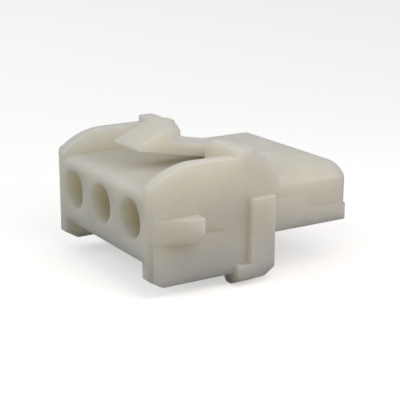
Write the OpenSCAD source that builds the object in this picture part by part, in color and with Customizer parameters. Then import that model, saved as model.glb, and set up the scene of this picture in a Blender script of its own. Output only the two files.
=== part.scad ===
// Three way pin and socket connector housing for panel mounting: one moulding of natural nylon.
// X runs along the row of cavities, Y from the wire entry face to the mating end, Z up.
// The origin is on the middle cavity's axis, in the plane of the flange's panel face.

/* [Circuits] */
// Number of contact cavities in the row
circuits = 3; // [2:1:6]
// Distance between cavity axes
pitch = 6.35; // [5.6:0.05:8]
// Diameter of the wire side of a cavity
cavity_d = 4.1; // [3.6:0.05:4.6]
// Diameter of the mating side of a cavity
socket_d = 3.2; // [2.4:0.05:3.4]
// Diameter of the ring that the contact's lances snap behind
neck_d = 3.5; // [3:0.05:3.6]
// Depth of the wire side, up to the snap ring
entry_depth = 11.4; // [9:0.1:12]
// Length of the snap ring
neck_len = 0.8; // [0.5:0.1:1]
// Length of the room behind the ring, where the lances spread
lance_room = 1.4; // [1:0.1:2]
// Length of the cone that leads from there into the mating side
cone_len = 0.4; // [0.2:0.05:0.8]
// Width of the lead-in chamfer at each mouth
mouth_chamfer = 0.2; // [0.1:0.05:0.35]

/* [Body] */
// Height of the body
body_h = 7.2; // [6.4:0.1:9]
// Outer cavity axis to the outer face of the side plate
side_reach = 4.05; // [3.6:0.05:5]
// Wire entry face to the start of the mating nose
body_len = 14.3; // [13.6:0.1:18]
// Height of the cavity axes above the body's middle
cavity_rise = 0.25; // [0:0.05:0.4]
// Radius of the upper edge at the wire entry face
edge_r = 0.9; // [0.3:0.05:1.1]

/* [Side plates] */
// Thickness of a side plate
plate_t = 1.6; // [1:0.1:1.8]
// How far the plates stand above and below the body
plate_over = 2.45; // [1.6:0.05:3.5]
// Radius of the upper edge's fall towards the wire side
plate_r = 8; // [6:0.1:12]
// Length of that fall
plate_fall = 5.5; // [3:0.1:5.8]
// Length of the lower corner's chamfer at the wire side
plate_cut_y = 1.5; // [0.5:0.1:3]
// Height of the lower corner's chamfer at the wire side
plate_cut_z = 0.9; // [0.3:0.1:2]
// How far the plate's front edge leans over the nose
plate_lean = 0.9; // [0.2:0.1:1.5]
// Setback of the plate's top front corner behind the body's front
plate_set = 0.3; // [0.1:0.1:1]
// Radius of the plate's upright corner at the wire side
corner_r = 0.5; // [0.2:0.05:0.9]

/* [Panel ramps] */
// Distance of the ramp's thin end from the wire entry face
ramp_start = 0.5; // [0.2:0.1:2]
// Length of the ramp
ramp_len = 5; // [3:0.1:5.5]
// Height of the ramp
ramp_h = 2.6; // [1.6:0.1:4]
// How far the ramp's thick end stands proud
ramp_proud = 1.5; // [0.6:0.1:2]
// Drop of the ramp's middle below the body's middle
ramp_drop = 0.4; // [0:0.1:1]
// Corner cut at the ramp's lower thick end
ramp_cut = 0.9; // [0.2:0.1:1.2]
// Distance from the ramp's steep face to the relief groove behind it
groove_gap = 0.5; // [0.2:0.1:1]
// Length of the relief groove
groove_len = 2.5; // [1:0.1:3]
// Drop of the relief groove below the body's middle
groove_drop = 1; // [0:0.1:2]
// Width of the relief groove
groove_w = 0.35; // [0.2:0.05:0.6]
// Depth of the relief groove
groove_depth = 0.2; // [0.1:0.05:0.5]

/* [Flange] */
// Wire entry face to the flange's panel face
flange_y = 10.2; // [8.6:0.1:11]
// Thickness of the flange
flange_t = 1.8; // [1.2:0.1:2.4]
// How far the flange's ears stand above the side plates
ear_over = 0.7; // [0.3:0.05:1.2]
// Clear gap beside the latch, between it and each ear
ear_gap = 1.4; // [0.8:0.1:2]
// Length of the slope on the ears' inner corners
ear_slope = 1.4; // [0.6:0.1:2]
// Thickness of the stop bars on the side plates
bar_proud = 0.8; // [0.4:0.1:1.2]
// Width of the stop bars
bar_w = 2.8; // [1.6:0.1:3.4]
// Height of the stop bars' top above the body's middle
bar_top = 1.75; // [0.5:0.05:3]
// Depth of the feet below the side plates
foot_drop = 1.35; // [0.9:0.05:2]
// Height of the bars' feet
foot_h = 2.3; // [1.6:0.1:3]
// How far the feet reach past the bars towards the wire side
foot_reach = 1.7; // [0.8:0.1:2.4]
// Width of a foot's level underside
foot_flat = 0.8; // [0.4:0.1:1.2]
// Length of a foot's level underside
foot_len = 2.1; // [1.8:0.1:3]
// How far the underside then rises towards the nose
foot_rise = 1.6; // [0.6:0.1:1.8]
// Rise of the underside from its level part to the outer face
foot_bevel = 0.8; // [0.2:0.1:1.2]

/* [Mating nose] */
// Length of the nose
nose_len = 9.4; // [7:0.1:14]
// Depth of the nose below the body's middle
nose_below = 2.35; // [2.2:0.05:3.2]
// Radius of the nose's upper corners
key_r = 3.6; // [3:0.1:6]
// Width of the rounding along those corners
key_w = 2.7; // [0.8:0.1:2.9]
// How far the keying steps stand proud of the nose
step_proud = 0.3; // [0.15:0.05:0.6]
// Height of the long part of a keying step
step_h = 1.9; // [1:0.1:2.4]
// Extra height of the step beside the flange
step_rise = 1.6; // [0.6:0.1:2]
// Length of the step's raised part
step_len = 4.1; // [2:0.1:5]

/* [Spring latch] */
// Width of the latch arm
latch_w = 5; // [3.4:0.1:6]
// Wire entry face to the latch's free end
latch_start = 3.1; // [2:0.1:5]
// Clear height under the latch's free end
latch_lift = 2.3; // [1.4:0.05:2.8]
// Thickness of the arm at its root
arm_t = 1.35; // [0.9:0.05:1.8]
// Thickness of the free end's lip
lip_t = 0.35; // [0.25:0.05:0.5]
// Length of the root on the nose
root_len = 2.2; // [1.2:0.1:3.5]
// Height of the root's front edge above the nose
root_h = 0.8; // [0.3:0.1:1.2]
// Setback of the root from the nose's start
root_set = 0.8; // [0.3:0.1:1.5]
// Length of the latch's ramp
hook_len = 4.1; // [3:0.1:5]
// Height of the latch's ramp above the arm
hook_h = 1.6; // [0.8:0.05:2]
// Lean of the ramp's steep face
hook_lean = 0.3; // [0.1:0.05:0.6]

/* [Hidden] */
$fn = 64;
eps = 0.02;
nylon = [0.87, 0.85, 0.79];
half_row = pitch * (circuits - 1) / 2;
half_w = half_row + side_reach;
body_top = body_h / 2;
plate_top = body_top + plate_over;
ear_top = plate_top + ear_over;
rest_z = -plate_top - foot_drop;
end_y = body_len + nose_len;
fuse = 1; // how deep the parts of the moulding sink into each other
notch = latch_w / 2 + ear_gap;
bar_y = body_len - bar_w;
ramp_end = ramp_start + ramp_len;

// Profile drawn in Y and Z, extruded from x0 to x1
module along_x(x0, x1) {
  translate([x0, 0, 0]) rotate([90, 0, 90]) linear_extrude(x1 - x0) children();
}

// Profile drawn in X and Z, extruded from y0 to y1
module along_y(y0, y1) {
  translate([0, y1, 0]) rotate([90, 0, 0]) linear_extrude(y1 - y0) children();
}

// Both sides of the housing, mirrored about the row's middle
module both_sides() {
  children();
  mirror([1, 0, 0]) children();
}

// What lies outside an arc that is level at [reach, 0] and falls towards x = 0
module arc_waste(r, reach) {
  drop = r - sqrt(r * r - reach * reach);
  difference() {
    translate([-1, -drop]) square([reach + 1, drop + 1]);
    translate([reach, -r]) circle(r);
  }
}

module body() {
  along_x(-half_w, half_w) difference() {
    translate([0, -body_top]) square([body_len, body_h]);
    translate([0, body_top]) arc_waste(edge_r, edge_r);
  }
}

// Side plate: upper edge falling in an arc, chamfer below, front edge leaning onto the nose
module plate_outline() {
  difference() {
    polygon([
      [0, -plate_top + plate_cut_z], [plate_cut_y, -plate_top],
      [body_len, -plate_top], [body_len + plate_lean, body_top],
      [body_len - plate_set, plate_top], [0, plate_top]
    ]);
    translate([0, plate_top]) arc_waste(plate_r, plate_fall);
  }
}

// What the round upright corner at the wire side takes off a side plate
module corner_waste() {
  translate([half_w, 0, -plate_top - fuse]) linear_extrude(2 * (plate_top + fuse))
    rotate(180) arc_waste(corner_r, corner_r);
}

// Wedge that starts flush with the plate and ends in the steep face that holds the panel
module panel_ramp() {
  difference() {
    translate([0, 0, -ramp_drop - ramp_h / 2]) linear_extrude(ramp_h) polygon([
      [half_w - plate_t / 2, ramp_start], [half_w, ramp_start],
      [half_w + ramp_proud, ramp_end], [half_w - plate_t / 2, ramp_end]
    ]);
    along_x(half_w, half_w + ramp_proud + 1) polygon([
      [ramp_end - ramp_cut, -ramp_drop - ramp_h / 2 - eps],
      [ramp_end + eps, -ramp_drop - ramp_h / 2 - eps],
      [ramp_end + eps, -ramp_drop - ramp_h / 2 + ramp_cut]
    ]);
  }
}

module relief_groove() {
  translate([half_w - groove_depth, ramp_end + groove_gap, -groove_drop - groove_w])
    cube([groove_depth + fuse, groove_len, groove_w]);
}

// Ear of the flange, with its inner corner sloped beside the latch
module ear() {
  along_y(flange_y, flange_y + flange_t) polygon([
    [notch, body_top - fuse], [half_w, body_top - fuse], [half_w, ear_top],
    [notch + ear_slope, ear_top], [notch, ear_top - ear_over]
  ]);
}

// The flange goes on below the body, level with the side plates
module lower_flange() {
  translate([-half_w, flange_y, -plate_top])
    cube([2 * half_w, flange_t, plate_top - body_top + fuse]);
}

// Stop bar and its foot on the outer face of a side plate
module stop_bar() {
  inner = half_w - plate_t;
  foot_y = bar_y - foot_reach;
  intersection() {
    along_x(inner - fuse, half_w + bar_proud) polygon([
      [bar_y, bar_top], [body_len, bar_top], [body_len, rest_z + foot_rise],
      [foot_y + foot_len, rest_z], [foot_y, rest_z], [foot_y, rest_z + foot_h],
      [bar_y, rest_z + foot_h]
    ]);
    along_y(0, end_y) polygon([
      [inner - fuse, -plate_top + fuse], [inner - fuse, -plate_top], [inner, rest_z],
      [inner + foot_flat, rest_z], [half_w + bar_proud, rest_z + foot_bevel],
      [half_w + bar_proud, bar_top], [half_w - plate_t / 2, bar_top],
      [half_w - plate_t / 2, -plate_top + fuse]
    ]);
  }
}

// Mating nose: round upper corners, so that the housing enters one way round
module nose() {
  along_y(body_len - fuse, end_y) difference() {
    translate([-half_w, -nose_below]) square([2 * half_w, nose_below + body_top]);
    both_sides() translate([-half_w, body_top]) arc_waste(key_r, key_w);
  }
}

// Keying step, taller beside the flange
module key_step() {
  low = step_h - nose_below;
  high = low + step_rise;
  slant = step_len + step_rise / 2;
  along_x(half_w - plate_t / 2, half_w + step_proud) polygon([
    [body_len - fuse, -nose_below], [end_y, -nose_below], [end_y, low],
    [body_len + slant, low], [body_len + step_len, high], [body_len - fuse, high]
  ]);
}

// Spring latch: rooted on the nose, rising through the flange to a ramp and a thin lip
module latch() {
  root_y = body_len + root_set;
  free_z = body_top + latch_lift;
  slope = latch_lift / (root_y - latch_start);
  hook_y = latch_start + hook_len;
  arm_top = body_top + arm_t + slope * (root_y - hook_y);
  along_x(-latch_w / 2, latch_w / 2) polygon([
    [latch_start, free_z], [root_y, body_top], [root_y, body_top - fuse],
    [root_y + root_len, body_top - fuse], [root_y + root_len, body_top + root_h],
    [hook_y + hook_lean, arm_top], [hook_y, arm_top + hook_h], [latch_start, free_z + lip_t]
  ]);
}

// Stepped contact cavity: wire entry, snap ring, room for the lances, then the socket
module cavity() {
  r = cavity_d / 2;
  ring_end = entry_depth + neck_len;
  room_end = ring_end + lance_room;
  rotate([-90, 0, 0]) rotate_extrude() polygon([
    [0, -eps], [r + mouth_chamfer + eps, -eps], [r, mouth_chamfer], [r, entry_depth],
    [neck_d / 2, entry_depth], [neck_d / 2, ring_end], [r, ring_end], [r, room_end],
    [socket_d / 2, room_end + cone_len], [socket_d / 2, end_y - mouth_chamfer],
    [socket_d / 2 + mouth_chamfer + eps, end_y + eps], [0, end_y + eps]
  ]);
}

// The sub-parts above are drawn from the wire entry face and the body's middle
module housing() {
  color(nylon) translate([0, -flange_y, -cavity_rise]) difference() {
    union() {
      body();
      nose();
      lower_flange();
      latch();
      both_sides() {
        along_x(half_w - plate_t, half_w) plate_outline();
        panel_ramp();
        ear();
        stop_bar();
        key_step();
      }
    }
    both_sides() {
      corner_waste();
      relief_groove();
    }
    for (i = [0 : circuits - 1])
      translate([i * pitch - half_row, 0, cavity_rise]) cavity();
  }
}

housing();
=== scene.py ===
from math import cos, pi, radians, sin

import bmesh
import bpy
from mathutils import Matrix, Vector


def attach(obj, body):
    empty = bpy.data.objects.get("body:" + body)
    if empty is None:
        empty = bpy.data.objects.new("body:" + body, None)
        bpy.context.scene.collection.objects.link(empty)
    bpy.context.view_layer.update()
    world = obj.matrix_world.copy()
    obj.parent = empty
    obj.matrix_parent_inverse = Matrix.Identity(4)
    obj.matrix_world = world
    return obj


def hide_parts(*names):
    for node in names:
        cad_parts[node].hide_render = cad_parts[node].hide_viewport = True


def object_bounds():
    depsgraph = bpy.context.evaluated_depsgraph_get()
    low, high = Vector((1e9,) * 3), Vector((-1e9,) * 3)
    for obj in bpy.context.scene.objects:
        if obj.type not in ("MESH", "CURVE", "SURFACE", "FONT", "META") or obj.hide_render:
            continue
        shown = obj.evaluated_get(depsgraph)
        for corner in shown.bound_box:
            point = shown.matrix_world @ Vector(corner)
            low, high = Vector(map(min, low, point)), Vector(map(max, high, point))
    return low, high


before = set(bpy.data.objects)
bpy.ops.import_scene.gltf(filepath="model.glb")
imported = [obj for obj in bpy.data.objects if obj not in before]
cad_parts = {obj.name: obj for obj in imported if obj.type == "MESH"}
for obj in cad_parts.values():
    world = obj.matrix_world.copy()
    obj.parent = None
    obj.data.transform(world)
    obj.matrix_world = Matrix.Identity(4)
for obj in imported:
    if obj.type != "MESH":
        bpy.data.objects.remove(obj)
cad_low, cad_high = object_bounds()

# ---- Housing ----
# One injection moulding in natural nylon: body, side plates, flange, latch and nose in one.
# The mould leaves every edge slightly round. Its walls are thin enough for light to pass
# through them, and the spark-finished steel leaves a fine grain with a low sheen.

MM = 0.001
EDGE_RADIUS = 0.16 * MM
EDGE_STEPS = 4
ROUND_EDGES_NEED = 2.05
WELD = 0.002 * MM
FLAT = radians(0.8)
SHARP = radians(28)
CREASE = radians(40)
SHORTEST_EDGE = 0.3 * MM
LARGE_FACE_WEIGHT = 60


def has_room(face, edge):
    """True where a face is deep enough, seen from this edge, for a round edge on each side."""
    start = edge.verts[0].co
    along = (edge.verts[1].co - start).normalized()
    depth = max((vert.co - start).cross(along).length for vert in face.verts)
    return depth > ROUND_EDGES_NEED * EDGE_RADIUS


housing = bpy.data.objects.new("housing_moulding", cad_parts["housing"].data.copy())
bpy.context.collection.objects.link(housing)
shell = bmesh.new()
shell.from_mesh(housing.data)
bmesh.ops.remove_doubles(shell, verts=shell.verts, dist=WELD)
bmesh.ops.dissolve_limit(shell, angle_limit=FLAT, verts=shell.verts, edges=shell.edges)
crisp = [
    edge for edge in shell.edges
    if edge.is_convex
    and edge.calc_face_angle() > SHARP
    and edge.calc_length() > SHORTEST_EDGE
    and all(has_room(face, edge) for face in edge.link_faces)
]
bmesh.ops.bevel(
    shell, geom=crisp, offset=EDGE_RADIUS, segments=EDGE_STEPS, profile=0.5,
    affect="EDGES", clamp_overlap=False, offset_type="OFFSET",
)
for face in shell.faces:
    face.smooth = True
shell.to_mesh(housing.data)
shell.free()
housing.data.set_sharp_from_angle(angle=CREASE)
even = housing.modifiers.new("even_shading", "WEIGHTED_NORMAL")
even.keep_sharp = True
even.weight = LARGE_FACE_WEIGHT

MILKY = (0.745, 0.69, 0.57)
PALE = (0.80, 0.745, 0.63)
NYLON_IOR = 1.53
SHEEN_LEVEL = 0.25
SHEEN_DULL = 0.58
SHEEN_BRIGHT = 0.44
LIGHT_REACH = 9 * MM
REACH_BY_COLOUR = (1.0, 0.88, 0.66)
CLOUD_SIZE = 5 * MM
FLECK_SIZE = 0.6 * MM
FLECK_SHARE = 0.4
TONE_FROM = 0.45
TONE_TO = 0.95
SINK_SIZE = 2.5 * MM
SINK_DEPTH = 0.03 * MM
GRAIN_SIZE = 0.1 * MM
GRAIN_DEPTH = 0.01 * MM
GRAIN_STRENGTH = 0.3


def natural_nylon():
    """Milky nylon: faintly cloudy and flecked, with a fine grain and slightly uneven walls."""
    material = bpy.data.materials.new("natural_nylon")
    material.use_nodes = True
    nodes, links = material.node_tree.nodes, material.node_tree.links
    surface = nodes["Principled BSDF"]
    surface.inputs["IOR"].default_value = NYLON_IOR
    surface.inputs["Specular IOR Level"].default_value = SHEEN_LEVEL
    surface.inputs["Subsurface Weight"].default_value = 1
    surface.inputs["Subsurface Radius"].default_value = REACH_BY_COLOUR
    surface.inputs["Subsurface Scale"].default_value = LIGHT_REACH
    place = nodes.new("ShaderNodeTexCoord")

    def noise(size, detail):
        texture = nodes.new("ShaderNodeTexNoise")
        texture.inputs["Scale"].default_value = 1 / size
        texture.inputs["Detail"].default_value = detail
        links.new(place.outputs["Object"], texture.inputs["Vector"])
        return texture.outputs["Fac"]

    def blend(kind, factor, first, second):
        """Mixes two numbers ("FLOAT") or two colours ("RGBA"), whose sockets differ."""
        mix = nodes.new("ShaderNodeMix")
        mix.data_type = kind
        low, high, out = (2, 3, 0) if kind == "FLOAT" else (6, 7, 2)
        links.new(factor, mix.inputs[0])
        mix.inputs[low].default_value = first
        mix.inputs[high].default_value = second
        return mix.outputs[out]

    cloud = noise(CLOUD_SIZE, 3)
    fleck = noise(FLECK_SIZE, 2)
    both = nodes.new("ShaderNodeMath")
    both.operation = "MULTIPLY_ADD"
    both.inputs[1].default_value = FLECK_SHARE
    links.new(fleck, both.inputs[0])
    links.new(cloud, both.inputs[2])
    spread = nodes.new("ShaderNodeMapRange")
    spread.inputs["From Min"].default_value = TONE_FROM
    spread.inputs["From Max"].default_value = TONE_TO
    links.new(both.outputs[0], spread.inputs["Value"])
    tone = spread.outputs["Result"]
    links.new(blend("RGBA", tone, (*MILKY, 1), (*PALE, 1)), surface.inputs["Base Color"])
    links.new(blend("FLOAT", tone, SHEEN_DULL, SHEEN_BRIGHT), surface.inputs["Roughness"])

    sink = nodes.new("ShaderNodeBump")
    sink.inputs["Distance"].default_value = SINK_DEPTH
    links.new(noise(SINK_SIZE, 1), sink.inputs["Height"])
    grain = nodes.new("ShaderNodeBump")
    grain.inputs["Strength"].default_value = GRAIN_STRENGTH
    grain.inputs["Distance"].default_value = GRAIN_DEPTH
    links.new(noise(GRAIN_SIZE, 2), grain.inputs["Height"])
    links.new(sink.outputs["Normal"], grain.inputs["Normal"])
    links.new(grain.outputs["Normal"], surface.inputs["Normal"])
    return material


housing.data.materials.clear()
housing.data.materials.append(natural_nylon())
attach(housing, "root")
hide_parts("housing")

# ---- Table ----
# A plain white table under the housing's feet. It shows white to the eye and in reflections,
# and throws only a little light back up, so the underside stays darker than the top.

TABLE_SIZE = 3.0
TABLE_BOUNCE = 0.25
TABLE_WHITE = 0.9
TABLE_GLOW = 0.5


def seen_directly(nodes, links):
    """1 for what the eye, a reflection or a clear piece shows, 0 for light on its way."""
    path = nodes.new("ShaderNodeLightPath")
    seen = path.outputs["Is Camera Ray"]
    for kind in ("Is Glossy Ray", "Is Transmission Ray"):
        either = nodes.new("ShaderNodeMath")
        either.operation = "MAXIMUM"
        links.new(seen, either.inputs[0])
        links.new(path.outputs[kind], either.inputs[1])
        seen = either.outputs[0]
    return seen


def by_sight(nodes, links, unseen, shown):
    """A value that is `shown` where it is seen directly and `unseen` where it only lights."""
    level = nodes.new("ShaderNodeMapRange")
    level.inputs["To Min"].default_value = unseen
    level.inputs["To Max"].default_value = shown
    links.new(seen_directly(nodes, links), level.inputs["Value"])
    return level.outputs["Result"]


bpy.ops.mesh.primitive_plane_add(size=TABLE_SIZE, location=(0, 0, cad_low.z))
table = bpy.context.object
table.name = "table"
paper = bpy.data.materials.new("white_paper")
paper.use_nodes = True
nodes, links = paper.node_tree.nodes, paper.node_tree.links
nodes.remove(nodes["Principled BSDF"])
matt = nodes.new("ShaderNodeBsdfDiffuse")
links.new(by_sight(nodes, links, TABLE_BOUNCE, TABLE_WHITE), matt.inputs["Color"])
glow = nodes.new("ShaderNodeEmission")
links.new(by_sight(nodes, links, 0, TABLE_GLOW), glow.inputs["Strength"])
together = nodes.new("ShaderNodeAddShader")
links.new(matt.outputs[0], together.inputs[0])
links.new(glow.outputs[0], together.inputs[1])
links.new(together.outputs[0], nodes["Material Output"].inputs["Surface"])
table.data.materials.append(paper)

# ---- Light ----
# Three soft lamps and an even pale sky, each given as the share of its own colour that a
# matt surface facing it shows.

SKY_LIGHT = 0.32
centre = (cad_low + cad_high) / 2


def towards(azimuth, elevation):
    """The direction from the part to a place round it: azimuth 0 is the wire entry side."""
    turn, rise = radians(azimuth), radians(elevation)
    return Vector((sin(turn) * cos(rise), -cos(turn) * cos(rise), sin(rise)))


def soft_lamp(name, azimuth, elevation, distance, size, level, tint):
    lamp = bpy.data.lights.new(name, "AREA")
    lamp.size = size
    lamp.energy = level * (pi * distance) ** 2
    lamp.color = tint
    holder = bpy.data.objects.new(name, lamp)
    bpy.context.collection.objects.link(holder)
    away = towards(azimuth, elevation)
    holder.location = centre + away * distance
    holder.rotation_euler = away.to_track_quat("Z", "Y").to_euler()
    holder.visible_camera = False


soft_lamp("window", -32, 32, 0.5, 0.3, 0.29, (0.985, 1.0, 0.975))
soft_lamp("side_lamp", 82, 46, 0.075, 0.05, 0.28, (1.0, 0.95, 0.89))
soft_lamp("nose_lamp", 122, 20, 0.08, 0.05, 0.21, (1.0, 0.89, 0.86))

sky = bpy.data.worlds.new("pale_sky")
bpy.context.scene.world = sky
sky.use_nodes = True
nodes, links = sky.node_tree.nodes, sky.node_tree.links
links.new(by_sight(nodes, links, SKY_LIGHT, 1), nodes["Background"].inputs["Strength"])
nodes["Background"].inputs["Color"].default_value = (1, 1, 1, 1)
bpy.context.scene.view_settings.view_transform = "Standard"

# ---- Camera ----
# Stands at the housing's right, a little above it, so that the near side plate, the wire
# entry face and the top all show. It is close, as for a small object, with a long lens.

AZIMUTH = 58.49
ELEVATION = 15.86
DISTANCE = 121.39 * MM
SENSOR_MM = 36
LENS_MM = 100.66
NEAREST = 5 * MM
AIM_OFFSET = Vector((0.53, -0.09, -1.28)) * MM
camera = bpy.data.objects.new("camera", bpy.data.cameras.new("camera"))
bpy.context.collection.objects.link(camera)
away = towards(AZIMUTH, ELEVATION)
camera.location = centre + AIM_OFFSET + away * DISTANCE
camera.rotation_euler = away.to_track_quat("Z", "Y").to_euler()
camera.data.sensor_width = SENSOR_MM
camera.data.lens = LENS_MM
camera.data.clip_start = NEAREST
bpy.context.scene.camera = camera
